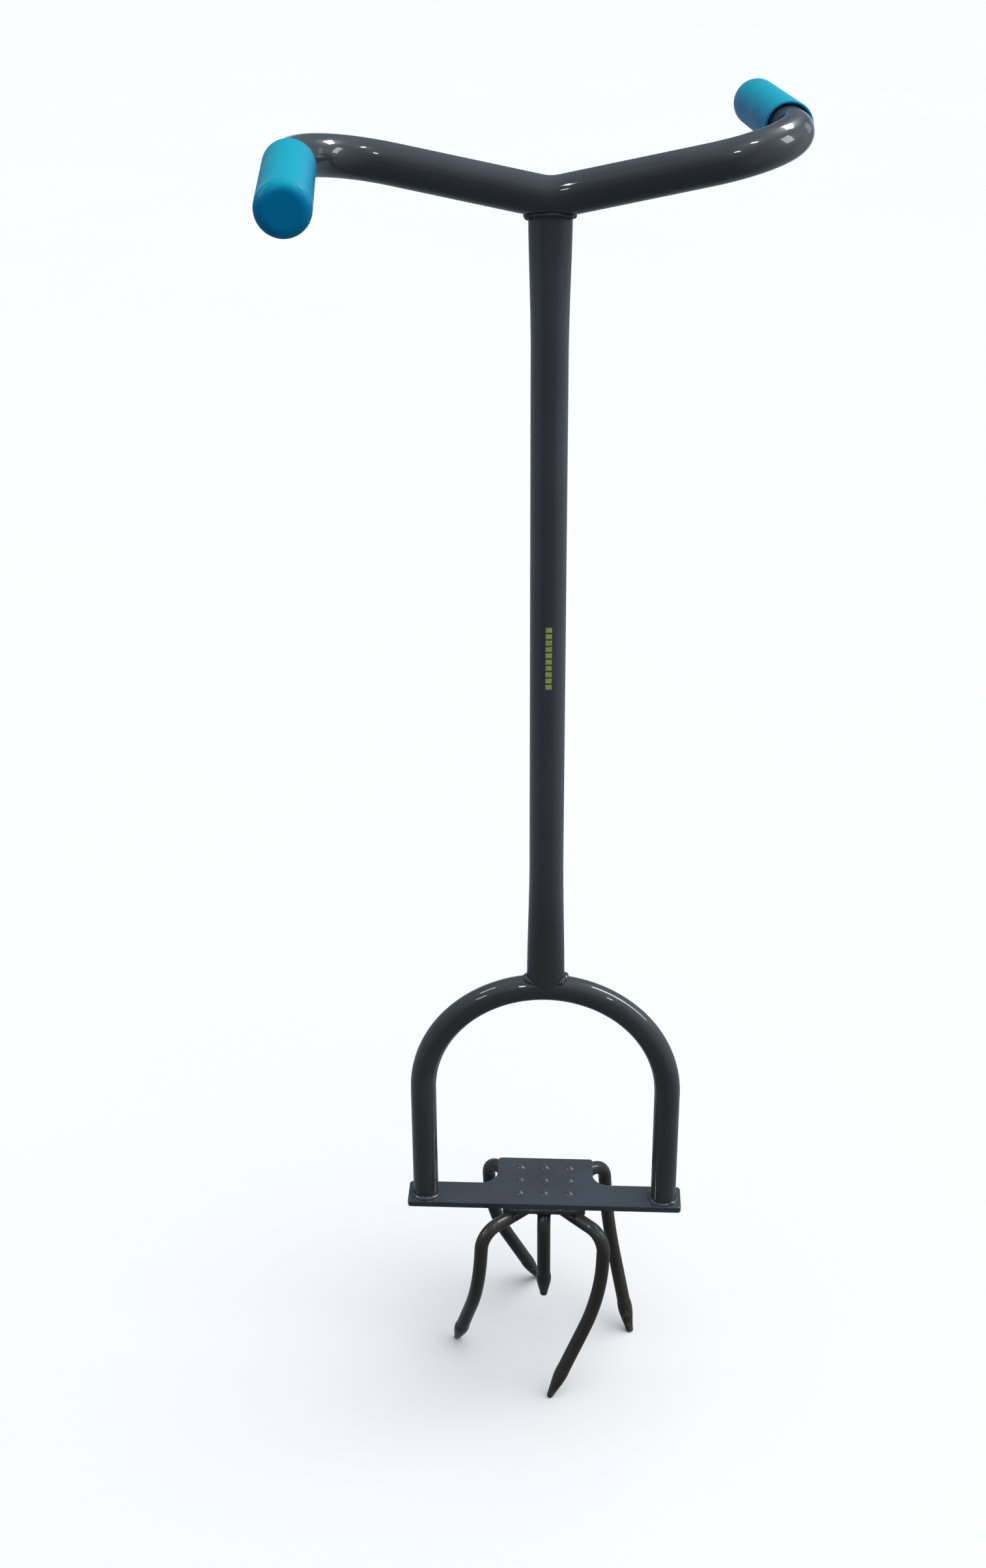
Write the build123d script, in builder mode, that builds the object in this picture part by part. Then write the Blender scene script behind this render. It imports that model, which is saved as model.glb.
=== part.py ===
from build123d import *
import math
import os

# A hand twist tiller: a bent-tube handlebar with two grips on top of a tube shaft, a
# stirrup hoop below it, a foot plate to tread on, and five soil tines under a hub plate.
# Millimetres and degrees. The origin is on the shaft's axis, level with the tips of the
# four outer tines. +Z is up, +X is to the user's right and -Y is towards the user.

os.makedirs("parts", exist_ok=True)

# ---- tines ----
rod_d = 10.4            # solid steel rod
tine_drop = 140.0       # from the middle of a tine's level leg down to its tip
tine_turn_radius = 14.7     # bend from the level leg to the upright
tine_lean_radius = 148.0    # gentle bend where the upright starts to lean
corner_reach = 66.1     # hub centre to the corner of the upper bend
lean_reach = 67.3       # hub centre to the lower bend
lean_turn = 3.2         # how far round the hub the lower bend lies, clockwise from above
lean_drop = 55.2        # height from the level leg down to the lower bend
tip_reach = 70.7        # hub centre to the tip
tip_turn = 40.0         # how far round the hub the tip lies, clockwise from above
leg_start = 9.5         # hub centre to the inner end of each outer leg
point_length = 27.0     # forged end of a tine, from the round rod to the tip
shoulder_place = 0.28   # fraction of that length at which it is widest
shoulder_width = 11.6
shoulder_thickness = 10.2
tip_width = 5.6
tip_thickness = 4.8
tip_round = 1.4

centre_start = 15.0     # hub centre to the inner end of the centre tine's leg
centre_turn_radius = 11.5
centre_reach = 29.4     # hub centre to the centre tine's bend
centre_drop = 86.5      # from its leg down to its tip
centre_tip_y = 2.0      # its tip lies this far behind the shaft's axis

# ---- plates ----
plate_t = 4.8
plate_half_length = 105.5
plate_half_width = 13.0     # half the width of the crossbar
pad_half_width = 37.5
pad_back = 45.5         # back edge of the tread pad, behind the shaft's axis
notch_r = 13.0
plate_corner_r = 3.0
plate_edge_r = 0.9
bump_d = 6.6
bump_h = 1.7
bump_pitch_x = 19.2
bump_pitch_y = 16.0
bump_middle_y = 17.2

hub_t = 5.0
hub_half_width = 32.0
hub_front = -12.6
hub_back = 43.6
hub_corner_r = 2.0

# ---- hoop and shaft ----
hoop_d = 19.2
hoop_wall = 1.5
hoop_radius = 92.0      # centreline of the half round, and half the spacing of the legs
hoop_leg = 97.8         # straight legs below the half round
shaft_d = 24.2
shaft_wall = 1.5
shaft_flat_width = 27.6     # across both squashed ends
shaft_flat_thickness = 18.4
top_squash = 96.0       # length of the squashed stretch below the handlebar's low point
bottom_squash = 110.0   # and above the hoop's centreline
squash_steps = 3        # each squashed stretch is lofted through this many steps

# ---- handlebar and grips ----
bar_d = 25.4
bar_wall = 1.6
bar_drop = 911.0        # handlebar's low point, where the two arms would cross, above the tips
bar_half_span = 156.5   # shaft's axis to the corner of each end bend
bar_rise = 32.1         # how far the arms rise to those corners
bar_bend_radius = 56.0
bar_dip_radius = 35.0
grip_toe = 6.2          # the ends turn in by this much from square
grip_droop = 0.9        # and point down by this much
grip_start = 72.3       # from the corner of the bend, along the bar's end
grip_d = 31.4
grip_length = 122.5
grip_end_wall = 4.0
grip_round = 6.5
grip_lip = 1.2
grip_mouth_d = 28.4     # the open end is belled clear of the bar
grip_mouth_depth = 5.0

# ---- welds ----
weld = 2.6              # leg of a fillet weld
leg_weld_face_r = 4.2   # rounding of the beads round the hoop's legs
seam_d = 3.6            # bead along the front and back edges of the hub plate
front_seam_gap = 5.0    # from the ends of those seams to the hub plate's sides
back_seam_gap = 7.0
tine_weld_spread = 1.6  # a tine's beads reach this far beyond the rod on the hub plate
tine_weld_taper = 2.1   # and are this much narrower at their lower edge
tine_weld_height = 3.2
tine_weld_gap = 5.0     # from the inner end of an outer tine's leg to its beads
tine_weld_margin = 1.0  # from the end of the beads to the hub plate's edge
centre_weld_gap = 1.5


# ---- levels worked out from the sizes above ----
leg_z = tine_drop                       # middle of the level legs of the tines
hub_z = leg_z + rod_d / 2               # underside of the hub plate
plate_z = hub_z + hub_t                 # underside of the foot plate
tread_z = plate_z + plate_t             # top of the foot plate
arc_z = tread_z + hoop_leg              # centre of the hoop's half round
hoop_top_z = arc_z + hoop_radius        # centreline at the top of the hoop
hub_y = (hub_front + hub_back) / 2      # centre of the hub, behind the shaft's axis


def section_plane(path, at=0):
    """Plane square to a path at the given fraction of its length."""
    return Plane(origin=path @ at, z_dir=path % at)


# ---- handlebar ----
# The right end turns away from the user and the left end towards the user, so that the
# two hands push in opposite directions when the tool is twisted.
toe = math.radians(grip_toe)
droop = math.radians(grip_droop)


def bar_corner(side):
    """Corner of the end bend, for side +1 (right) or -1 (left)."""
    return Vector(side * bar_half_span, 0, bar_drop + bar_rise)


def bar_end_direction(side):
    """Direction in which the bar's end and its grip point."""
    level = math.cos(droop)
    return Vector(-side * math.sin(toe) * level, side * math.cos(toe) * level, -math.sin(droop))


bar_end_length = grip_start + grip_length - grip_end_wall
left_bar_end = bar_corner(-1) + bar_end_direction(-1) * bar_end_length
right_bar_end = bar_corner(1) + bar_end_direction(1) * bar_end_length
with BuildLine() as bar_path:
    FilletPolyline(
        left_bar_end,
        bar_corner(-1),
        (0, 0, bar_drop),
        bar_corner(1),
        right_bar_end,
        radius=[bar_bend_radius, bar_dip_radius, bar_bend_radius],
    )
bar_line = bar_path.wire()

with BuildPart() as handlebar:
    with BuildSketch(section_plane(bar_line)):
        Circle(bar_d / 2)
        Circle(bar_d / 2 - bar_wall, mode=Mode.SUBTRACT)
    sweep(path=bar_line)
handlebar.part.label = "handlebar"
export_step(handlebar.part, "parts/handlebar.step")


# ---- grips ----
def make_grip(side):
    """Sleeve with a domed closed end and a belled open end."""
    along = bar_end_direction(side)
    mouth = bar_corner(side) + along * grip_start
    across = Vector(0, 0, 1).cross(along).normalized()
    half = Plane(origin=mouth, x_dir=across, z_dir=across.cross(along))
    outer = grip_d / 2
    bore = bar_d / 2
    bell = grip_mouth_d / 2
    bore_end = grip_length - grip_end_wall
    with BuildPart() as grip:
        with BuildSketch(half):
            with BuildLine():
                Line((0, bore_end), (bore, bore_end))
                Line((bore, bore_end), (bore, grip_mouth_depth + bell - bore))
                Line((bore, grip_mouth_depth + bell - bore), (bell, grip_mouth_depth))
                Line((bell, grip_mouth_depth), (bell, 0))
                Line((bell, 0), (outer - grip_lip, 0))
                RadiusArc((outer - grip_lip, 0), (outer, grip_lip), -grip_lip)
                Line((outer, grip_lip), (outer, grip_length - grip_round))
                RadiusArc((outer, grip_length - grip_round), (outer - grip_round, grip_length), -grip_round)
                Line((outer - grip_round, grip_length), (0, grip_length))
                Line((0, grip_length), (0, bore_end))
            make_face()
        revolve(axis=Axis(mouth, along))
    return grip.part


left_grip = make_grip(-1)
left_grip.label = "left_grip"
export_step(left_grip, "parts/left_grip.step")

right_grip = make_grip(1)
right_grip.label = "right_grip"
export_step(right_grip, "parts/right_grip.step")


# ---- hoop ----
with BuildLine() as hoop_path:
    Line((-hoop_radius, 0, tread_z), (-hoop_radius, 0, arc_z))
    ThreePointArc((-hoop_radius, 0, arc_z), (0, 0, hoop_top_z), (hoop_radius, 0, arc_z))
    Line((hoop_radius, 0, arc_z), (hoop_radius, 0, tread_z))
hoop_line = hoop_path.wire()

with BuildPart() as hoop:
    with BuildSketch(section_plane(hoop_line)):
        Circle(hoop_d / 2)
        Circle(hoop_d / 2 - hoop_wall, mode=Mode.SUBTRACT)
    sweep(path=hoop_line)
hoop.part.label = "hoop"
export_step(hoop.part, "parts/hoop.step")


# ---- shaft ----
# A round tube whose two ends are squashed front to back, coped to the tubes they meet.
def shaft_section(height, squash, inset):
    """Oval section of the shaft at a height, inset from its outside."""
    half_width = (shaft_d + (shaft_flat_width - shaft_d) * squash) / 2 - inset
    half_depth = (shaft_d - (shaft_d - shaft_flat_thickness) * squash) / 2 - inset
    with BuildSketch(Plane.XY.offset(height)) as section:
        Ellipse(half_width, half_depth)
    return section.sketch


def squashed_end(level, length, inset):
    """Sections of a squashed end, from the end's level to where the tube is round."""
    sections = []
    for step in range(squash_steps + 1):
        part_way = step / squash_steps
        squash = (1 + math.cos(math.pi * part_way)) / 2
        sections.append(shaft_section(level + length * part_way, squash, inset))
    return sections


def shaft_solid(inset):
    """Solid of the shaft's outline, inset from its outside."""
    bottom = squashed_end(hoop_top_z, bottom_squash, inset)
    top = squashed_end(bar_drop, -top_squash, inset)
    with BuildPart() as solid:
        loft(bottom)
        loft([bottom[-1], top[-1]])
        loft(top)
    return solid.part


shaft_outline = shaft_solid(0)
with BuildPart() as shaft:
    add(shaft_outline)
    add(shaft_solid(shaft_wall), mode=Mode.SUBTRACT)
    with BuildSketch(section_plane(bar_line)):
        Circle(bar_d / 2)
    sweep(path=bar_line, mode=Mode.SUBTRACT)
    with BuildSketch(section_plane(hoop_line)):
        Circle(hoop_d / 2)
    sweep(path=hoop_line, mode=Mode.SUBTRACT)
shaft.part.label = "shaft"
export_step(shaft.part, "parts/shaft.step")


# ---- foot plate ----
with BuildPart() as foot_plate:
    with BuildSketch(Plane.XY.offset(plate_z)) as outline:
        RectangleRounded(2 * plate_half_length, 2 * plate_half_width, plate_corner_r)
        with Locations((0, (pad_back + plate_half_width) / 2)):
            Rectangle(2 * (pad_half_width + notch_r), pad_back - plate_half_width)
        for side in (-1, 1):
            with Locations((side * (pad_half_width + notch_r), plate_half_width + notch_r)):
                Circle(notch_r, mode=Mode.SUBTRACT)
            with Locations((side * (pad_half_width + notch_r), pad_back)):
                Rectangle(2 * notch_r, 2 * (pad_back - plate_half_width - notch_r), mode=Mode.SUBTRACT)
        pad_corners = outline.vertices().group_by(Axis.Y)[-1]
        fillet(pad_corners, plate_corner_r)
    extrude(amount=plate_t)
    top_edges = foot_plate.faces().sort_by(Axis.Z)[-1].edges()
    fillet(top_edges, plate_edge_r)
    # nine raised pips in the tread
    pip_radius = (bump_d ** 2 / 4 + bump_h ** 2) / (2 * bump_h)
    with Locations((0, bump_middle_y, tread_z + bump_h - pip_radius)):
        with GridLocations(bump_pitch_x, bump_pitch_y, 3, 3):
            Sphere(pip_radius)
    with Locations((0, 0, plate_z)):
        Box(
            3 * plate_half_length, 3 * plate_half_length, 4 * pip_radius,
            align=(Align.CENTER, Align.CENTER, Align.MAX),
            mode=Mode.SUBTRACT,
        )
foot_plate.part.label = "foot_plate"
export_step(foot_plate.part, "parts/foot_plate.step")


# ---- hub plate ----
with BuildPart() as hub_plate:
    with BuildSketch(Plane.XY.offset(hub_z)):
        with Locations((0, hub_y)):
            RectangleRounded(2 * hub_half_width, hub_back - hub_front, hub_corner_r)
    extrude(amount=hub_t)
hub_plate.part.label = "hub_plate"
export_step(hub_plate.part, "parts/hub_plate.step")


# ---- tines ----
def hub_point(reach, angle, height):
    """Point at a reach from the hub's centre and an angle from +X, seen from above."""
    turn = math.radians(angle)
    return Vector(reach * math.cos(turn), hub_y + reach * math.sin(turn), height)


def point_section(centre, outward, facing, width, thickness):
    """Oval section of a tine's forged end, wider along the outward direction."""
    with BuildSketch(Plane(origin=centre, x_dir=outward, z_dir=facing)) as section:
        Ellipse(width / 2, thickness / 2)
    return section.sketch


def make_tine(route, radii, outward):
    """Round rod along a bent route whose last stretch is forged into a blunt point.

    route is a list of points that ends at the tip, radii are its bend radii and outward is
    the level direction along which the point is wider.
    """
    tip = route[-1]
    line = (tip - route[-2]).normalized()
    root = tip - line * point_length
    shoulder = root + line * point_length * shoulder_place
    half_way = (shoulder + tip) / 2
    half_width = (shoulder_width + tip_width) / 2
    half_thickness = (shoulder_thickness + tip_thickness) / 2
    width_dir = (outward - line * outward.dot(line)).normalized()
    with BuildLine() as tine_path:
        FilletPolyline(*route[:-1], root, radius=radii)
    tine_line = tine_path.wire()
    sections = [
        point_section(root, width_dir, line, rod_d, rod_d),
        point_section(shoulder, width_dir, line, shoulder_width, shoulder_thickness),
        point_section(half_way, width_dir, line, half_width, half_thickness),
        point_section(tip, outward, Vector(0, 0, -1), tip_width, tip_thickness),
    ]
    with BuildPart() as tine:
        with BuildSketch(section_plane(tine_line)):
            Circle(rod_d / 2)
        sweep(path=tine_line)
        loft(sections)
        end = tine.faces().sort_by(Axis.Z)[0]
        fillet(end.edges(), tip_round)
    return tine.part


def make_tine_weld(angle, inner, outer, tine):
    """Fillet beads on both sides of a tine's level leg, under the hub plate."""
    upper = rod_d / 2 + tine_weld_spread
    lower = upper - tine_weld_taper
    start = hub_point(inner, angle, hub_z)
    along = hub_point(1, angle, 0) - hub_point(0, angle, 0)
    across = Vector(0, 0, 1).cross(along)
    with BuildPart() as beads:
        with BuildSketch(Plane(origin=start, x_dir=across, z_dir=along)):
            with BuildLine():
                Polyline(
                    (-upper, 0),
                    (upper, 0),
                    (lower, -tine_weld_height),
                    (-lower, -tine_weld_height),
                    close=True,
                )
            make_face()
        extrude(amount=outer - inner)
        add(tine, mode=Mode.SUBTRACT)
    return beads.part


outer_tines = {
    "tine_back_right": 45,
    "tine_back_left": 135,
    "tine_front_left": 225,
    "tine_front_right": 315,
}
hub_corner_reach = min(hub_half_width, (hub_back - hub_front) / 2) * math.sqrt(2)
for name, angle in outer_tines.items():
    route = [
        hub_point(leg_start, angle, leg_z),
        hub_point(corner_reach, angle, leg_z),
        hub_point(lean_reach, angle - lean_turn, leg_z - lean_drop),
        hub_point(tip_reach, angle - tip_turn, 0),
    ]
    outward = hub_point(1, angle - tip_turn, 0) - hub_point(0, angle, 0)
    tine = make_tine(route, [tine_turn_radius, tine_lean_radius], outward)
    tine.label = name
    export_step(tine, f"parts/{name}.step")

    beads = make_tine_weld(angle, leg_start + tine_weld_gap, hub_corner_reach - tine_weld_margin, tine)
    beads.label = name + "_weld"
    export_step(beads, f"parts/{name}_weld.step")

# The centre tine bends down at the hub's front edge and its tip lies near the shaft's axis.
centre_route = [
    hub_point(centre_start, 270, leg_z),
    hub_point(centre_reach, 270, leg_z),
    Vector(0, centre_tip_y, leg_z - centre_drop),
]
centre_tine = make_tine(centre_route, [centre_turn_radius], Vector(1, 0, 0))
centre_tine.label = "centre_tine"
export_step(centre_tine, "parts/centre_tine.step")

centre_weld_end = hub_y - hub_front - tine_weld_margin
centre_weld = make_tine_weld(270, centre_start + centre_weld_gap, centre_weld_end, centre_tine)
centre_weld.label = "centre_tine_weld"
export_step(centre_weld, "parts/centre_tine_weld.step")


# ---- welds ----
def make_saddle_weld(level, length, tube_line, tube_d):
    """Bead round a squashed end of the shaft, where it meets a tube."""
    with BuildPart() as bead:
        loft(squashed_end(level, length, -weld))
        with BuildSketch(section_plane(tube_line)) as sleeve:
            Circle(tube_d / 2 + weld)
        sweep(sections=sleeve.sketch, path=tube_line, mode=Mode.INTERSECT)
        add(shaft_outline, mode=Mode.SUBTRACT)
        with BuildSketch(section_plane(tube_line)) as core:
            Circle(tube_d / 2)
        sweep(sections=core.sketch, path=tube_line, mode=Mode.SUBTRACT)
    return bead.part


handlebar_weld = make_saddle_weld(bar_drop, -top_squash, bar_line, bar_d)
handlebar_weld.label = "handlebar_weld"
export_step(handlebar_weld, "parts/handlebar_weld.step")

hoop_weld = make_saddle_weld(hoop_top_z, bottom_squash, hoop_line, hoop_d)
hoop_weld.label = "hoop_weld"
export_step(hoop_weld, "parts/hoop_weld.step")

for name, side in (("left_leg_weld", -1), ("right_leg_weld", 1)):
    leg_x = side * hoop_radius
    leg_r = hoop_d / 2
    with BuildPart() as leg_weld:
        with BuildSketch(Plane.XZ):
            with BuildLine():
                Line((leg_x + leg_r, tread_z), (leg_x + leg_r + weld, tread_z))
                RadiusArc((leg_x + leg_r + weld, tread_z), (leg_x + leg_r, tread_z + weld), leg_weld_face_r)
                Line((leg_x + leg_r, tread_z + weld), (leg_x + leg_r, tread_z))
            make_face()
        revolve(axis=Axis((leg_x, 0, 0), (0, 0, 1)))
    leg_weld.part.label = name
    export_step(leg_weld.part, f"parts/{name}.step")

for name, seam_y, seam_gap in (
    ("hub_weld_front", hub_front, front_seam_gap),
    ("hub_weld_back", hub_back, back_seam_gap),
):
    seam_half = hub_half_width - seam_gap
    with BuildPart() as seam:
        with BuildSketch(Plane.YZ.offset(-seam_half)):
            with Locations((seam_y, plate_z)):
                Circle(seam_d / 2)
        extrude(amount=2 * seam_half)
        add(foot_plate.part, mode=Mode.SUBTRACT)
        add(hub_plate.part, mode=Mode.SUBTRACT)
    seam.part.label = name
    export_step(seam.part, f"parts/{name}.step")
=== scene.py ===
import math
import random

import bmesh
import bpy
from mathutils import Matrix, Vector, noise
from mathutils.bvhtree import BVHTree


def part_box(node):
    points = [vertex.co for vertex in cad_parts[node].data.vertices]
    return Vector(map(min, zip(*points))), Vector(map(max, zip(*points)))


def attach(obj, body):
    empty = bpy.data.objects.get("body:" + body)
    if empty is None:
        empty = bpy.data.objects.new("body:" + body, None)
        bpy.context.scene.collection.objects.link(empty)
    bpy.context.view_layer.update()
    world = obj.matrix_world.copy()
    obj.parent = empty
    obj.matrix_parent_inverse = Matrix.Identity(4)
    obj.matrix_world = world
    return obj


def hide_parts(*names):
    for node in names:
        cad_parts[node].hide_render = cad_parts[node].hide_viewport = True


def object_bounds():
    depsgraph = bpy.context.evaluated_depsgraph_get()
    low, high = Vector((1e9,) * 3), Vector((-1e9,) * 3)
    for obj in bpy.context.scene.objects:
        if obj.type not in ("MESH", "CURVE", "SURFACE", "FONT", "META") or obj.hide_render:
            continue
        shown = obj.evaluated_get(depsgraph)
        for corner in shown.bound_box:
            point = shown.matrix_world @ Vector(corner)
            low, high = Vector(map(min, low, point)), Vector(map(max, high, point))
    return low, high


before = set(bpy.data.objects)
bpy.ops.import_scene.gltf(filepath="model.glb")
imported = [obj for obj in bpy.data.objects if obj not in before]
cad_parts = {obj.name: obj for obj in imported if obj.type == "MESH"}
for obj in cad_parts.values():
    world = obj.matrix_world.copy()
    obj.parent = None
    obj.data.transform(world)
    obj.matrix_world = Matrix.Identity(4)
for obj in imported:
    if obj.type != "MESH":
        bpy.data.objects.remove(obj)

# A hand twist tiller. Metres, in the CAD's own frame: +Z up, +X to the user's right and
# -Y towards the user, with the tine tips on the floor at Z 0.
cad_low, cad_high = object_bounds()
scene = bpy.context.scene
scene.view_settings.view_transform = "Standard"
scene.render.film_transparent = False
TAU = 2 * math.pi
MM = 0.001


# ---------------------------------------------------------------- node helpers
class Nodes:
    """A material's node tree, with short calls for the nodes used here."""

    def __init__(self, name):
        self.material = bpy.data.materials.new(name)
        self.material.use_nodes = True
        self.tree = self.material.node_tree
        self.shader = self.tree.nodes["Principled BSDF"]
        self.place = self.tree.nodes.new("ShaderNodeTexCoord").outputs["Object"]

    def link(self, value, socket):
        """Sets a socket to a number, a colour or another node's output."""
        if isinstance(value, bpy.types.NodeSocket):
            self.tree.links.new(value, socket)
        else:
            socket.default_value = value

    def noise(self, scale, detail=2.0, rough=0.5):
        """Height of a noise whose lumps are about 1/scale metres across."""
        node = self.tree.nodes.new("ShaderNodeTexNoise")
        self.link(self.place, node.inputs["Vector"])
        node.inputs["Scale"].default_value = scale
        node.inputs["Detail"].default_value = detail
        node.inputs["Roughness"].default_value = rough
        return node.outputs["Fac"]

    def part(self, vector, axis):
        """One coordinate of a vector."""
        node = self.tree.nodes.new("ShaderNodeSeparateXYZ")
        self.link(vector, node.inputs[0])
        return node.outputs[axis]

    def spread(self, value, low, high, out_low=0.0, out_high=1.0):
        """Value carried smoothly from low..high to out_low..out_high and held at both ends."""
        node = self.tree.nodes.new("ShaderNodeMapRange")
        node.interpolation_type = "SMOOTHSTEP"
        for socket, number in zip(node.inputs[:5], (value, low, high, out_low, out_high)):
            self.link(number, socket)
        return node.outputs[0]

    def maths(self, how, first, second=0.0):
        """A sum, product or other operation on two numbers."""
        node = self.tree.nodes.new("ShaderNodeMath")
        node.operation = how
        self.link(first, node.inputs[0])
        self.link(second, node.inputs[1])
        return node.outputs[0]

    def blend(self, amount, first, second):
        """Colour that goes from first to second as amount goes from 0 to 1."""
        node = self.tree.nodes.new("ShaderNodeMix")
        node.data_type = "RGBA"
        self.link(amount, node.inputs[0])
        self.link(first, node.inputs[6])
        self.link(second, node.inputs[7])
        return node.outputs[2]

    def bump(self, height, distance, under=None):
        """Normal that follows a height, with distance in metres per unit of height."""
        node = self.tree.nodes.new("ShaderNodeBump")
        node.inputs["Strength"].default_value = 1.0
        node.inputs["Distance"].default_value = distance
        self.link(height, node.inputs["Height"])
        if under is not None:
            self.link(under, node.inputs["Normal"])
        return node.outputs["Normal"]

    def normal_up(self):
        """Upward part of the surface's own normal."""
        node = self.tree.nodes.new("ShaderNodeNewGeometry")
        return self.part(node.outputs["Normal"], 2)


def colour(red, green, blue):
    """Opaque linear colour."""
    return (red, green, blue, 1.0)


# ---------------------------------------------------------------- materials
# Bluish grey of dust, which also stands for a painted sheen of the bright overhead light on upward faces.
DUST_AND_TOP_SHEEN = colour(0.075, 0.090, 0.110)
BARE_STEEL = colour(0.105, 0.088, 0.072)
VINYL_MOTTLE = colour(0.0, 0.06, 0.12)
CLOSED_END = 14 * MM        # length over which a grip turns smoother towards its closed end


def enamel(name, low, high, peel=1.0, chips=0.0, rust_below=None, coat=0.8, dust_and_sheen_share=0.35, foot=None):
    """Glossy dark stove enamel with orange peel, dust and a painted bluish sheen on its upward sides, and
    small chips.

    low and high are the ends of its colour variation, peel scales the orange peel, chips is
    how much of it is chipped, and below rust_below the paint is rubbed thin. coat is the
    share of its clear gloss, and the next argument the share of dust and of a painted
    overhead sheen on its upward faces. foot is a height, a reach and a colour: near that
    height the paint fades to that colour.
    """
    n = Nodes(name)
    cloud = n.noise(16, 3.0)
    grain = n.noise(1500, 2.0, 0.6)
    tone = n.maths("ADD", n.maths("MULTIPLY", cloud, 0.6), n.maths("MULTIPLY", grain, 0.4))
    body = n.blend(n.spread(tone, 0.36, 0.66), low, high)
    if foot is not None:
        level, reach, foot_colour = foot
        body = n.blend(n.spread(n.part(n.place, 2), level, level + reach), foot_colour, body)
    # Dust and a painted sheen: upward faces turn, in patches, towards the lighter bluish grey, as if
    # catching the overhead light.
    dust_and_sheen = n.maths("MULTIPLY", n.spread(n.normal_up(), 0.35, 1.0), n.spread(cloud, 0.3, 0.7, 0.5, 1.0))
    body = n.blend(n.maths("MULTIPLY", dust_and_sheen, dust_and_sheen_share), body, DUST_AND_TOP_SHEEN)
    flecks = n.spread(n.noise(420, 1.0), 0.74, 0.80)
    patches = n.spread(n.noise(38, 2.0), 0.56, 0.70)
    worn = n.maths("MULTIPLY", n.maths("MULTIPLY", flecks, patches), chips)
    if rust_below is not None:
        height = n.part(n.place, 2)
        near_tip = n.spread(height, 0.0, rust_below, 1.0, 0.0)
        scuffs = n.maths("ADD", n.noise(190, 3.0, 0.6), n.maths("MULTIPLY", near_tip, 0.22))
        rubbed = n.spread(scuffs, 0.66, 0.78)
        worn = n.maths("MAXIMUM", worn, n.maths("MULTIPLY", rubbed, 0.7))
    body = n.blend(worn, body, BARE_STEEL)
    n.link(body, n.shader.inputs["Base Color"])
    gloss = n.spread(n.noise(55, 3.0), 0.3, 0.7, 0.285, 0.39)
    n.link(n.maths("ADD", gloss, n.maths("MULTIPLY", worn, 0.3)), n.shader.inputs["Roughness"])
    n.shader.inputs["Specular IOR Level"].default_value = 0.2
    n.shader.inputs["Coat Weight"].default_value = coat
    n.shader.inputs["Coat Roughness"].default_value = 0.035
    waves = n.bump(n.noise(260, 1.5, 0.45), 0.04 * MM * peel)
    fine = n.bump(n.noise(900, 2.0, 0.5), 0.01 * MM * peel, under=waves)
    skin = n.bump(n.maths("MULTIPLY", worn, -1.0), 0.08 * MM, under=fine)
    n.link(skin, n.shader.inputs["Normal"])
    return n.material


def vinyl(name, low, high, painted_shade_colour, end):
    """Dip-moulded satin vinyl with a faint mottle and a fine leathery skin.

    low and high are the ends of its colour variation where it faces up, which is painted
    lighter as if lit from above, and the third colour is a darker, bluer painted shade on
    the sides and ends. Beyond end, to the front or the back of the shaft, the closed ends
    are smoother.
    """
    n = Nodes(name)
    cloud = n.noise(40, 3.0, 0.55)
    grain = n.noise(1100, 2.5, 0.6)
    tone = n.maths("ADD", n.maths("MULTIPLY", cloud, 0.3), n.maths("MULTIPLY", grain, 0.7))
    # Painted light and shade: faces that point up get the lighter colours, and sides and ends the darker
    # painted shade.
    painted_top_light = n.spread(n.normal_up(), 0.05, 0.92)
    body = n.blend(painted_top_light, painted_shade_colour, n.blend(n.spread(tone, 0.36, 0.64), low, high))
    body = n.blend(n.spread(tone, 0.36, 0.64, 0.12, 0.0), body, VINYL_MOTTLE)
    n.link(body, n.shader.inputs["Base Color"])
    closed_end = n.spread(n.maths("ABSOLUTE", n.part(n.place, 1)), end - CLOSED_END, end)
    satin = n.spread(n.noise(90, 3.0), 0.3, 0.7, 0.42, 0.52)
    n.link(n.maths("SUBTRACT", satin, n.maths("MULTIPLY", closed_end, 0.13)), n.shader.inputs["Roughness"])
    n.shader.inputs["Specular IOR Level"].default_value = 0.07
    pebble = n.bump(n.noise(700, 3.0, 0.55), 0.03 * MM)
    n.link(n.bump(n.noise(90, 2.0), 0.04 * MM, under=pebble), n.shader.inputs["Normal"])
    return n.material


def print_ink(name, low, high):
    """Screen-printed ink, a little thin and worn in places."""
    n = Nodes(name)
    n.link(n.blend(n.spread(n.noise(900, 3.0, 0.6), 0.35, 0.65), low, high), n.shader.inputs["Base Color"])
    n.link(n.spread(n.noise(300, 2.0), 0.3, 0.7, 0.42, 0.56), n.shader.inputs["Roughness"])
    n.link(n.bump(n.noise(1200, 2.0), 0.03 * MM), n.shader.inputs["Normal"])
    return n.material


def floor_paper(name):
    """Pale matt backdrop paper, with a glow where it curls up far behind the tool."""
    n = Nodes(name)
    tone = n.blend(n.noise(1.3, 2.0), colour(0.960, 0.930, 0.910), colour(0.985, 0.955, 0.935))
    n.link(tone, n.shader.inputs["Base Color"])
    n.link(n.spread(n.noise(40, 2.0), 0.3, 0.7, 0.85, 0.95), n.shader.inputs["Roughness"])
    n.shader.inputs["Specular IOR Level"].default_value = 0.1
    n.shader.inputs["Emission Color"].default_value = colour(0.94, 0.97, 1.0)
    full_glow = 0.62
    full_glow_height = 7.0
    glow = n.spread(n.part(n.place, 2), 0.0, full_glow_height, 0.0, full_glow)
    n.link(glow, n.shader.inputs["Emission Strength"])
    return n.material


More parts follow.
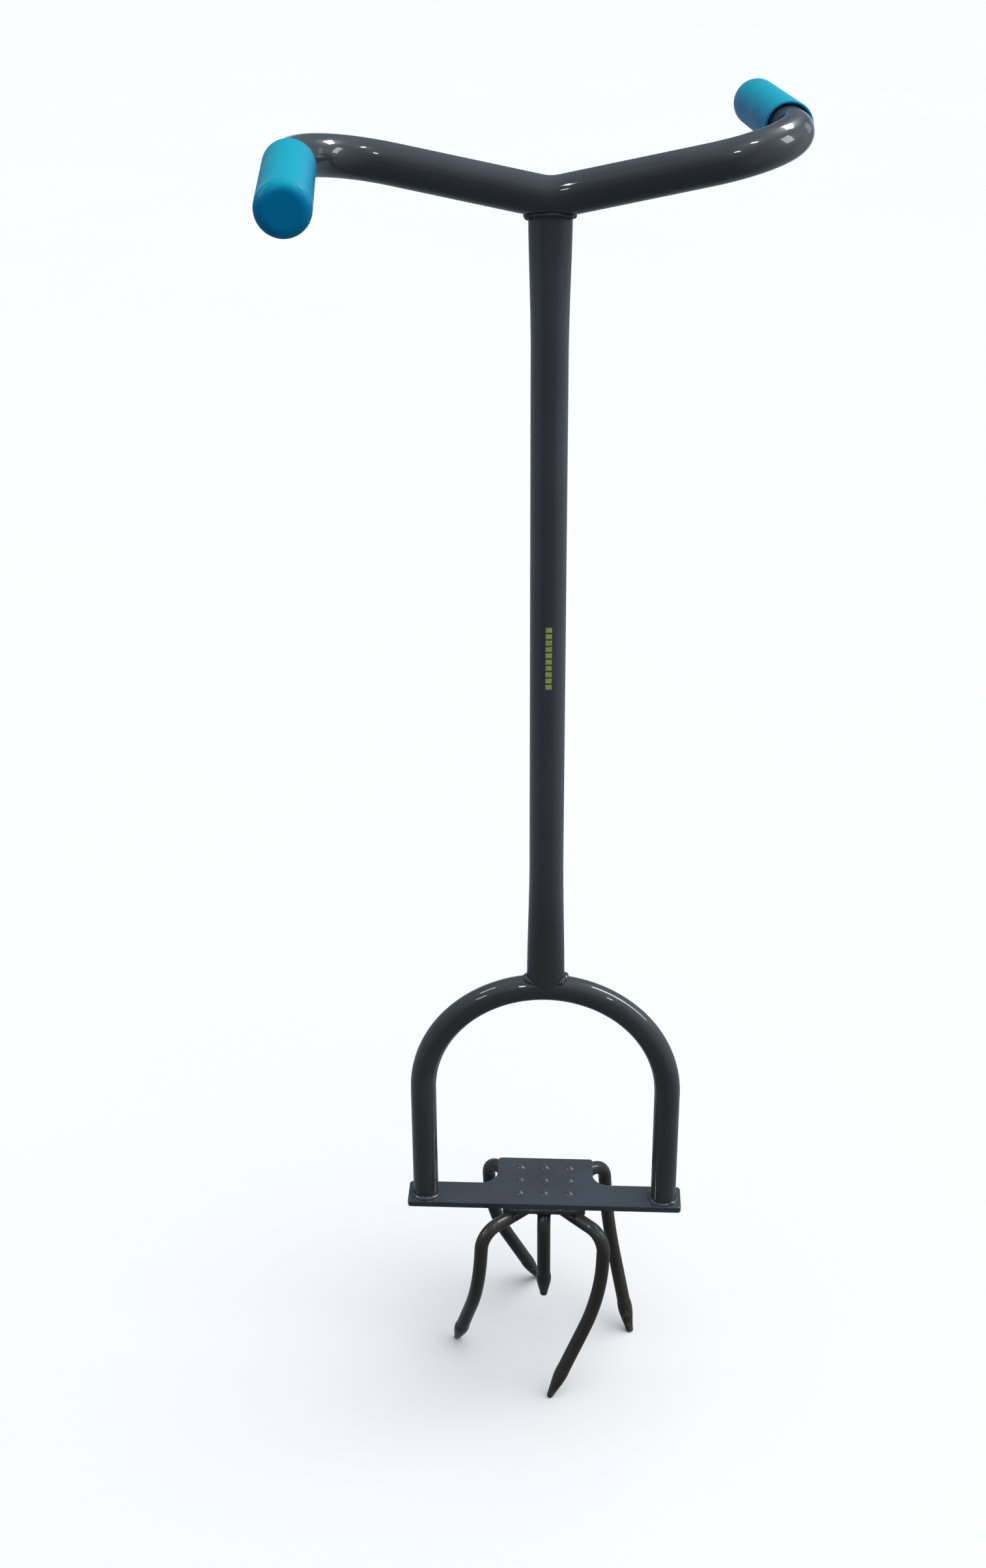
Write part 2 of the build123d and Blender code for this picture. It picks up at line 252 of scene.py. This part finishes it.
bar_paint = enamel("bar_enamel", colour(0.033, 0.035, 0.038), colour(0.047, 0.050, 0.056), peel=0.08)
# Towards the hoop the shaft's paint fades to the hoop's warmer tone, which is painted warm light from the
# floor.
shaft_paint = enamel("shaft_enamel", colour(0.047, 0.048, 0.055), colour(0.064, 0.066, 0.076), peel=0.15,
                     foot=(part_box("hoop")[1].z, 0.11, colour(0.042, 0.039, 0.037)))
# Warmer than the handlebar's paint: painted warm light from the floor, with more dust and painted sheen on
# its upward faces.
hoop_paint = enamel("hoop_enamel", colour(0.033, 0.031, 0.029), colour(0.049, 0.046, 0.043), peel=0.15,
                    chips=0.5, dust_and_sheen_share=0.55)
plate_paint = enamel("plate_enamel", colour(0.030, 0.036, 0.043), colour(0.045, 0.054, 0.065), peel=0.6,
                     chips=0.6)
# Darker and warmer than the rest of the paint: painted shade under the plates and painted warm light from
# the floor; the rubbed tips and chips are wear.
tine_paint = enamel("tine_enamel", colour(0.031, 0.025, 0.020), colour(0.045, 0.037, 0.030),
                    peel=0.15, chips=0.8, rust_below=0.03, coat=0.28, dust_and_sheen_share=0.1)
weld_paint = enamel("weld_enamel", colour(0.022, 0.022, 0.023), colour(0.038, 0.038, 0.041),
                    peel=0.6, chips=0.6, coat=0.35, dust_and_sheen_share=0.15)
grip_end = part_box("right_grip")[1].y - 10 * MM
# The grips' third colour is the darker, bluer painted shade on their sides and ends.
grip_skin = vinyl("grip_vinyl_skin", colour(0.002, 0.385, 0.530), colour(0.005, 0.455, 0.610),
                  colour(0.0, 0.235, 0.480), grip_end)
ink = print_ink("shaft_print", colour(0.34, 0.38, 0.07), colour(0.62, 0.66, 0.16))
paper = floor_paper("floor_paper")

# The CAD nodes whose shape is right keep it and get these materials.
looks = {
    "handlebar": bar_paint,
    "shaft": shaft_paint,
    "hoop": hoop_paint,
    "foot_plate": plate_paint,
    "hub_plate": plate_paint,
    "left_grip": grip_skin,
    "right_grip": grip_skin,
    "centre_tine": tine_paint,
}
tine_angles = {
    "tine_back_right": 45,
    "tine_back_left": 135,
    "tine_front_left": 225,
    "tine_front_right": 315,
}
for tine in tine_angles:
    looks[tine] = tine_paint
for node, look in looks.items():
    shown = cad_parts[node]
    if not shown.material_slots:
        shown.data.materials.append(look)
    for holder in shown.material_slots:
        holder.material = look


# ---------------------------------------------------------------- pieces
def place_piece(name, mesh, look, nodes=()):
    """Puts a finished mesh in the scene as a piece that rides on the tool."""
    piece = bpy.data.objects.new(name, mesh)
    scene.collection.objects.link(piece)
    mesh.materials.append(look)
    for face in mesh.polygons:
        face.use_smooth = True
    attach(piece, "root")
    if nodes:
        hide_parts(*nodes)
    return piece


BEAD_SIDES = 18
RIPPLE = 4.2 * MM       # spacing of a bead's puddle marks
LUMPS = 190             # lumps, sideways drift and grain of a bead, each per metre
DRIFTS = 120
GRAINS = 700
DRIFT_SHARE = 0.30      # depth of its drift and its grain, in shares of its radius
GRAIN_SHARE = 0.10


def bead_mesh(name, line, radius, closed, seed, lump, sizes=None, spatter=0, puddling=0.08, taper=2.5):
    """Mesh of a hand-laid weld bead: a tube along a line, rippled and lumpy.

    line is a list of points about half a millimetre apart. A closed line gives a ring, and
    an open one gets tapered ends. lump is how much the bead swells and shrinks, and sizes
    gives its relative thickness and lumpiness at a point. puddling is how deep the puddle
    marks are and taper how many radii an end takes.
    """
    rng = random.Random(seed)
    shift = Vector((rng.uniform(0, 50), rng.uniform(0, 50), rng.uniform(0, 50)))
    count = len(line)
    travel = [0.0]
    for here, there in zip(line, line[1:]):
        travel.append(travel[-1] + (there - here).length)
    total = travel[-1] + ((line[0] - line[-1]).length if closed else 0.0)
    marks = max(1, round(total / RIPPLE))
    bm = bmesh.new()
    rings = []
    for index, point in enumerate(line):
        before = line[index - 1] if index or closed else line[0]
        after = line[(index + 1) % count] if index + 1 < count or closed else line[-1]
        along = (after - before).normalized()
        side = along.cross(Vector((0, 0, 1)))
        if side.length <= 0.2:
            side = along.cross(Vector((0, 1, 0)))
        side = side.normalized()
        up = side.cross(along)
        phase = travel[index] / total * marks
        puddle = abs(math.sin(math.pi * phase))
        size, rough_share = sizes(point) if sizes else (1.0, 1.0)
        swell = lump * noise.noise(point * LUMPS + shift) * 1.8 + puddling * (puddle - 0.6)
        swell = 1 + rough_share * swell
        end = 1.0
        if not closed:
            gap = min(travel[index], total - travel[index])
            end = min(1.0, gap / (taper * radius)) ** 0.6
        wander = Vector((
            noise.noise(point * DRIFTS + shift),
            noise.noise(point * DRIFTS + shift * 1.7),
            noise.noise(point * DRIFTS + shift * 2.3),
        )) * radius * DRIFT_SHARE * rough_share
        thick = radius * size
        ring = []
        for k in range(BEAD_SIDES):
            turn = TAU * k / BEAD_SIDES
            spot = side * math.cos(turn) + up * math.sin(turn)
            grain = noise.noise((point + spot * radius) * GRAINS + shift)
            rough = 1 + GRAIN_SHARE * rough_share * grain
            reach = max(thick * swell * end * rough, radius * 0.02)
            ring.append(bm.verts.new(point + wander * end + spot * reach))
        rings.append(ring)
    pairs = list(zip(rings, rings[1:]))
    if closed:
        pairs.append((rings[-1], rings[0]))
    for first, second in pairs:
        for k in range(BEAD_SIDES):
            after = (k + 1) % BEAD_SIDES
            bm.faces.new((first[k], first[after], second[after], second[k]))
    if not closed:
        bm.faces.new(list(reversed(rings[0])))
        bm.faces.new(rings[-1])
    for _ in range(spatter):
        centre = line[rng.randrange(count)]
        away = Vector((rng.uniform(-1, 1), rng.uniform(-1, 1), rng.uniform(-0.6, 0.6))).normalized()
        size = rng.uniform(0.25, 0.5) * radius
        made = bmesh.ops.create_icosphere(bm, subdivisions=2, radius=size)["verts"]
        bmesh.ops.translate(bm, verts=made, vec=centre + away * radius * 0.9)
    bmesh.ops.recalc_face_normals(bm, faces=bm.faces)
    mesh = bpy.data.meshes.new(name)
    bm.to_mesh(mesh)
    bm.free()
    return mesh


def resample(line, step, closed=False):
    """The same line with points evenly spaced by about step."""
    points = list(line) + ([line[0]] if closed else [])
    lengths = [0.0]
    for here, there in zip(points, points[1:]):
        lengths.append(lengths[-1] + (there - here).length)
    count = max(2, round(lengths[-1] / step))
    result = []
    leg = 0
    for index in range(count if closed else count + 1):
        goal = lengths[-1] * index / count
        while leg < len(lengths) - 2 and lengths[leg + 1] < goal:
            leg += 1
        part = (goal - lengths[leg]) / max(lengths[leg + 1] - lengths[leg], 1e-9)
        result.append(points[leg].lerp(points[leg + 1], part))
    return result


def tree_of(node):
    """Search tree of a CAD node's surface."""
    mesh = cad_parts[node].data
    return BVHTree.FromPolygons(
        [v.co.copy() for v in mesh.vertices],
        [tuple(face.vertices) for face in mesh.polygons],
    )


# Saddle beads where the shaft's squashed ends meet the handlebar and the hoop.
weld_leg = 2.6 * MM         # width of the CAD's smooth fillets
step = 0.5 * MM             # distance between the points of a bead's line
saddle_half_width = 11 * MM


def saddle_line(weld_node, tube_node, upwards, out, lift, points=72):
    """Corner between the shaft and a tube, all the way round the shaft."""
    low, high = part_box(weld_node)
    centre = (low + high) / 2
    half_x = (high.x - low.x) / 2 - weld_leg
    half_y = (high.y - low.y) / 2 - weld_leg
    tube = tree_of(tube_node)
    tube_low, tube_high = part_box(tube_node)
    widest = min(-tube_low.y, tube_high.y) - 0.25 * MM
    start = low.z - 0.03 if upwards else high.z + 0.03
    way = Vector((0, 0, 1 if upwards else -1))
    corner = []
    for index in range(points):
        turn = TAU * index / points
        spot = Vector((
            centre.x + (half_x + out) * math.cos(turn),
            centre.y + min(half_y + out, widest) * math.sin(turn),
            start,
        ))
        hit = tube.ray_cast(spot, way)[0]
        corner.append(hit - way * lift)
    return resample(corner, step, closed=True)


def beside(point):
    """How far a point of a saddle bead is from its front and back towards its sides."""
    return min(1.0, (abs(point.x) / saddle_half_width) ** 4)


def smooth_in_front(point):
    """Lower saddle bead: thick and lumpy at the shaft's sides, smoothed away in front."""
    return 0.15 + 0.85 * beside(point), beside(point)


def heavier_left(point):
    """Upper saddle bead: heavier on the left and a little thinner in front."""
    return (0.72 + 0.28 * beside(point)) * (1.0 - point.x * 12), 1.0


def sink(line, depth):
    """The line with its front and back drawn in towards the shaft's axis by depth."""
    return [point - Vector((0, math.copysign(depth * (1 - beside(point)), point.y), 0)) for point in line]


top_line = saddle_line("handlebar_weld", "handlebar", True, 0.5 * MM, 0.7 * MM)
foot_line = sink(saddle_line("hoop_weld", "hoop", False, 0.5 * MM, 0.6 * MM), 1.6 * MM)
beads = [
    ("top_joint_bead", "handlebar_weld", top_line, 2.0 * MM, 11, heavier_left, weld_paint),
    ("hoop_joint_bead", "hoop_weld", foot_line, 2.3 * MM, 12, smooth_in_front, hoop_paint),
]
for name, node, line, radius, seed, sizes, look in beads:
    mesh = bead_mesh(name, line, radius, True, seed, lump=0.25, sizes=sizes, spatter=4)
    place_piece(name, mesh, look, [node])

# Rings round the hoop's legs on the foot plate.
leg_bead_radius = 1.7 * MM
leg_bead_out = 0.7 * MM
leg_bead_lift = 0.2 * MM
ring_points = 120
for name, node, seed in (("left_leg_bead", "left_leg_weld", 21), ("right_leg_bead", "right_leg_weld", 22)):
    low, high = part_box(node)
    centre = Vector(((low.x + high.x) / 2, (low.y + high.y) / 2, low.z + leg_bead_lift))
    reach = (high.x - low.x) / 2 - weld_leg + leg_bead_out
    ring = []
    for index in range(ring_points):
        turn = TAU * index / ring_points
        ring.append(centre + Vector((reach * math.cos(turn), reach * math.sin(turn), 0)))
    line = resample(ring, step, closed=True)
    mesh = bead_mesh(name, line, leg_bead_radius, True, seed, lump=0.45, spatter=12, puddling=0.04)
    place_piece(name, mesh, plate_paint, [node])

# Seams between the hub plate and the foot plate.
hub_low, hub_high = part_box("hub_plate")
seams = [
    ("front_seam_bead", "hub_weld_front", hub_low.y + 0.2 * MM, 1.9 * MM, 2.1 * MM, 31),
    ("back_seam_bead", "hub_weld_back", hub_high.y + 0.3 * MM, 0.6 * MM, 1.6 * MM, 32),
]
for name, node, y, drop, radius, seed in seams:
    low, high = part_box(node)
    z = hub_high.z - drop
    line = resample([Vector((low.x, y, z)), Vector((high.x, y, z))], step)
    mesh = bead_mesh(name, line, radius, False, seed, lump=0.2, puddling=0.03)
    place_piece(name, mesh, weld_paint, [node])

# Beads along both sides of each tine's level leg, joined round its end at the hub's edge.
rod_radius = 5.2 * MM
tine_bead_radius = 2.0 * MM
tine_bead_gap = 0.1 * MM        # from the rod's side to the middle of a bead
tine_bead_drop = 1.2 * MM       # from the hub plate down to the middle of a bead
first_tine_seed = 41
hub_centre = (hub_low + hub_high) / 2


def tine_bead_line(angle, inner, outer, side):
    """Line of a fillet under the hub plate beside a tine's leg."""
    turn = math.radians(angle)
    along = Vector((math.cos(turn), math.sin(turn), 0))
    across = Vector((-math.sin(turn), math.cos(turn), 0)) * side
    offset = across * (rod_radius + tine_bead_gap)
    start = Vector((hub_centre.x, hub_centre.y, hub_low.z - tine_bead_drop))
    return [start + along * inner + offset, start + along * outer + offset]


legs = [(name, angle, 14.5 * MM, 39 * MM) for name, angle in tine_angles.items()]
legs.append(("centre_tine", 270, 16.5 * MM, 27.4 * MM))
for number, (name, angle, inner, outer) in enumerate(legs):
    joined = bmesh.new()
    for side in (-1, 1):
        line = resample(tine_bead_line(angle, inner, outer, side), step)
        seed = first_tine_seed + 2 * number + side
        mesh = bead_mesh(name, line, tine_bead_radius, False, seed, lump=0.2, puddling=0.04, taper=4.5)
        joined.from_mesh(mesh)
        bpy.data.meshes.remove(mesh)
    mesh = bpy.data.meshes.new(name + "_bead")
    joined.to_mesh(mesh)
    joined.free()
    place_piece(name + "_bead", mesh, weld_paint, [name + "_weld"])

# A column of plain printed blocks on the front of the shaft.
shaft_tree = tree_of("shaft")
mark_count = 10
mark_width = 4.2 * MM
mark_height = 3.5 * MM
mark_pitch = 4.6 * MM
mark_columns = 6            # faces across a block, which follow the tube's curve
mark_middle = Vector((0.9 * MM, 0, 0.6115))
mark_lift = 0.06 * MM
bm = bmesh.new()
for index in range(mark_count):
    middle = mark_middle.z + (index - (mark_count - 1) / 2) * mark_pitch
    grid = []
    for row in (-0.5, 0.5):
        line = []
        for column in range(mark_columns + 1):
            x = mark_middle.x + (column / mark_columns - 0.5) * mark_width
            z = middle + row * mark_height
            hit, facing = shaft_tree.ray_cast(Vector((x, -0.05, z)), Vector((0, 1, 0)))[:2]
            line.append((hit + facing * mark_lift, hit - facing * mark_lift))
        grid.append(line)
    lower = [bm.verts.new(spot[0]) for spot in grid[0]]
    upper = [bm.verts.new(spot[0]) for spot in grid[1]]
    lower_back = [bm.verts.new(spot[1]) for spot in grid[0]]
    upper_back = [bm.verts.new(spot[1]) for spot in grid[1]]
    for k in range(mark_columns):
        bm.faces.new((lower[k], lower[k + 1], upper[k + 1], upper[k]))
        bm.faces.new((lower_back[k + 1], lower_back[k], upper_back[k], upper_back[k + 1]))
        bm.faces.new((lower_back[k], lower_back[k + 1], lower[k + 1], lower[k]))
        bm.faces.new((upper[k], upper[k + 1], upper_back[k + 1], upper_back[k]))
    bm.faces.new((lower_back[0], lower[0], upper[0], upper_back[0]))
    bm.faces.new((lower[-1], lower_back[-1], upper_back[-1], upper[-1]))
bmesh.ops.recalc_face_normals(bm, faces=bm.faces)
mesh = bpy.data.meshes.new("shaft_marks")
bm.to_mesh(mesh)
bm.free()
place_piece("shaft_marks", mesh, ink)
for face in mesh.polygons:
    face.use_smooth = False


# ---------------------------------------------------------------- floor, light, camera
# Floor of pale paper, flat all round and curled up far away into a round wall. Only the
# camera sees it; the world below stands for it in reflections.
floor_mesh = bpy.data.meshes.new("floor")
flat_reach = 16.0
curl = 9.0
wall_top = 30.0
curl_steps = 14
floor_sides = 96
floor_level = cad_low.z - 0.2 * MM
profile = [(flat_reach, floor_level)]
for index in range(1, curl_steps + 1):
    lean = math.pi / 2 * index / curl_steps
    profile.append((flat_reach + curl * math.sin(lean), floor_level + curl * (1 - math.cos(lean))))
profile.append((flat_reach + curl, wall_top))
bm = bmesh.new()
rings = []
for reach, height in profile:
    ring = []
    for index in range(floor_sides):
        turn = TAU * index / floor_sides
        ring.append(bm.verts.new((reach * math.cos(turn), reach * math.sin(turn), height)))
    rings.append(ring)
bm.faces.new(rings[0])
for inner, outer in zip(rings, rings[1:]):
    for k in range(floor_sides):
        after = (k + 1) % floor_sides
        bm.faces.new((inner[k], outer[k], outer[after], inner[after]))
bm.to_mesh(floor_mesh)
bm.free()
for face in floor_mesh.polygons:
    face.use_smooth = len(face.vertices) == 4
floor_mesh.materials.append(paper)
floor = bpy.data.objects.new("floor", floor_mesh)
scene.collection.objects.link(floor)
floor.visible_glossy = False
floor.visible_diffuse = False
floor.visible_shadow = False

# The room as the tool sees it: even and dim, lighter overhead, with pale paper behind it.
world = bpy.data.worlds.new("studio")
world.use_nodes = True
scene.world = world
tree = world.node_tree
sky = tree.nodes["Background"]
ways = tree.nodes.new("ShaderNodeTexCoord")
split = tree.nodes.new("ShaderNodeSeparateXYZ")
tree.links.new(ways.outputs["Generated"], split.inputs[0])


def fade(output, low, high, out_low, out_high):
    """Smooth step of one part of the direction."""
    node = tree.nodes.new("ShaderNodeMapRange")
    node.interpolation_type = "SMOOTHSTEP"
    tree.links.new(output, node.inputs[0])
    for socket, number in zip(node.inputs[1:5], (low, high, out_low, out_high)):
        socket.default_value = number
    return node.outputs[0]


def join(how, first, second):
    """Sum or product of two outputs or numbers."""
    node = tree.nodes.new("ShaderNodeMath")
    node.operation = how
    for socket, value in zip(node.inputs, (first, second)):
        if isinstance(value, bpy.types.NodeSocket):
            tree.links.new(value, socket)
        else:
            socket.default_value = value
    return node.outputs[0]


east, north, up = split.outputs
ambient = 0.17
overhead = fade(up, 0.25, 1.0, 0.0, 0.30)
rear_floor = join("MULTIPLY", fade(north, -0.1, 0.7, 0.0, 1.0), fade(up, -0.9, 0.15, 0.16, 0.0))
rear_wall = join("MULTIPLY", fade(north, 0.84, 1.0, 0.0, 0.6), fade(up, 0.03, 0.16, 1.0, 0.0))
wall_band = join("MULTIPLY", fade(up, -0.75, -0.1, 0.25, 1.0), fade(up, 0.3, 0.8, 1.0, 0.0))
left_wall = fade(east, -0.95, -0.45, 0.22, 0.0)
right_wall = fade(east, 0.45, 0.95, 0.0, 0.38)
side_walls = join("MULTIPLY", wall_band, join("ADD", left_wall, right_wall))
level_light = join("ADD", ambient, overhead)
for share in (rear_floor, rear_wall, side_walls):
    level_light = join("ADD", level_light, share)
tree.links.new(level_light, sky.inputs["Strength"])
sky.inputs["Color"].default_value = colour(0.85, 1.0, 1.15)


def screened(name, node):
    """Collection that keeps a light off one CAD node."""
    kept_off = bpy.data.collections.new(name)
    kept_off.objects.link(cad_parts[node])
    kept_off.collection_objects[0].light_linking.link_state = "EXCLUDE"
    return kept_off


off_bar = screened("off_the_bar", "handlebar")
off_hoop = screened("off_the_hoop", "hoop")


def panel(name, place, size, radiance, kept_off, turn=0.0, aim=None):
    """Evenly bright rectangle that only shows as a reflection in glossy paint.

    It faces down, with size[0] across and size[1] behind, turned about Z; or, with aim, it
    faces that point, with size[0] level and size[1] upright. kept_off is the collection
    from screened() that it doesn't light.
    """
    data = bpy.data.lights.new(name, "AREA")
    data.shape = "RECTANGLE"
    data.size, data.size_y = size
    data.energy = radiance * math.pi * size[0] * size[1]
    data.color = (0.90, 0.98, 1.0)
    holder = bpy.data.objects.new(name, data)
    scene.collection.objects.link(holder)
    if aim is None:
        holder.matrix_world = Matrix.Translation(place) @ Matrix.Rotation(turn, 4, "Z")
    else:
        back = (place - aim).normalized()
        across = Vector((0, 0, 1)).cross(back).normalized()
        facing = Matrix((across, back.cross(across), back)).transposed().to_4x4()
        holder.matrix_world = Matrix.Translation(place) @ facing
    holder.visible_diffuse = False
    holder.visible_camera = False
    holder.light_linking.receiver_collection = kept_off


# Soft daylight from overhead, leaning a little from the right.
ceiling = bpy.data.lights.new("ceiling_light", "SUN")
ceiling.angle = math.radians(75)
ceiling.energy = 0.76 * math.pi
ceiling_holder = bpy.data.objects.new("ceiling_light", ceiling)
scene.collection.objects.link(ceiling_holder)
ceiling_holder.rotation_euler = (0.0, math.radians(25), 0.0)
ceiling_holder.visible_glossy = False

# Lamps that give the short glints on the handlebar and on the hoop: place, size, brightness.
bar_lamps = [
    ((0.456, -0.08, 1.76), (0.100, 0.06), 80),
    ((0.448, -0.64, 1.76), (0.120, 0.07), 60),
    ((-0.208, -0.46, 1.76), (0.004, 0.13), 150),
    ((-0.232, -1.05, 1.76), (0.006, 0.05), 120),
]
hoop_lamps = [
    ((-2.32, 0.18, 2.96), (0.90, 0.28), 20),
    ((-3.20, -2.90, 2.96), (0.80, 0.50), 20),
    ((-0.93, -2.57, 2.96), (0.24, 0.60), 40),
    ((2.77, -1.83, 2.96), (0.40, 0.40), 30),
]
for lamps, kept_off, label in ((bar_lamps, off_hoop, "bar_lamp"), (hoop_lamps, off_bar, "hoop_lamp")):
    for number, (place, size, radiance) in enumerate(lamps):
        panel(f"{label}_{number}", Vector(place), size, radiance, kept_off)
panel("long_lamp", Vector((1.44, 0.36, 1.0)), (2.05, 0.12), 26, off_bar, turn=math.radians(7.8))

# Window panes behind and to the right, and a pane on the left: place, size, brightness.
window_aim = Vector((0.0, 0.0, 0.95))
windows = [
    ("window_upper", Vector((0.575, 0.621, 1.621)), (0.34, 0.16), 22),
    ("window_lower", Vector((1.053, 0.124, 1.343)), (0.24, 0.50), 7),
    ("window_far", Vector((0.62, 0.61, 1.08)), (0.15, 0.26), 0.8),
    ("left_pane", Vector((-1.95, -0.32, 1.80)), (0.30, 0.30), 40),
]
for name, place, size, radiance in windows:
    panel(name, place, size, radiance, off_hoop, aim=window_aim)

# The camera stands above and in front of the tool, at the photograph's viewing angle.
camera_place = Vector((25.43, -1257.89, 1145.24)) * MM
camera_pitch = 0.4665
camera_yaw = -0.0501
camera_roll = -0.0070
camera_data = bpy.data.cameras.new("camera")
camera_data.lens = 46.345
camera_data.sensor_width = 36.0
camera_data.clip_start = 0.05
camera_data.clip_end = 200.0
camera = bpy.data.objects.new("camera", camera_data)
scene.collection.objects.link(camera)
ahead = Vector((
    math.sin(camera_yaw) * math.cos(camera_pitch),
    math.cos(camera_yaw) * math.cos(camera_pitch),
    -math.sin(camera_pitch),
))
level = Vector((math.cos(camera_yaw), -math.sin(camera_yaw), 0))
above = level.cross(ahead)
camera_right = level * math.cos(camera_roll) + above * math.sin(camera_roll)
camera_up = above * math.cos(camera_roll) - level * math.sin(camera_roll)
facing = Matrix((camera_right, camera_up, -ahead)).transposed().to_4x4()
camera.matrix_world = Matrix.Translation(camera_place) @ facing
scene.camera = camera
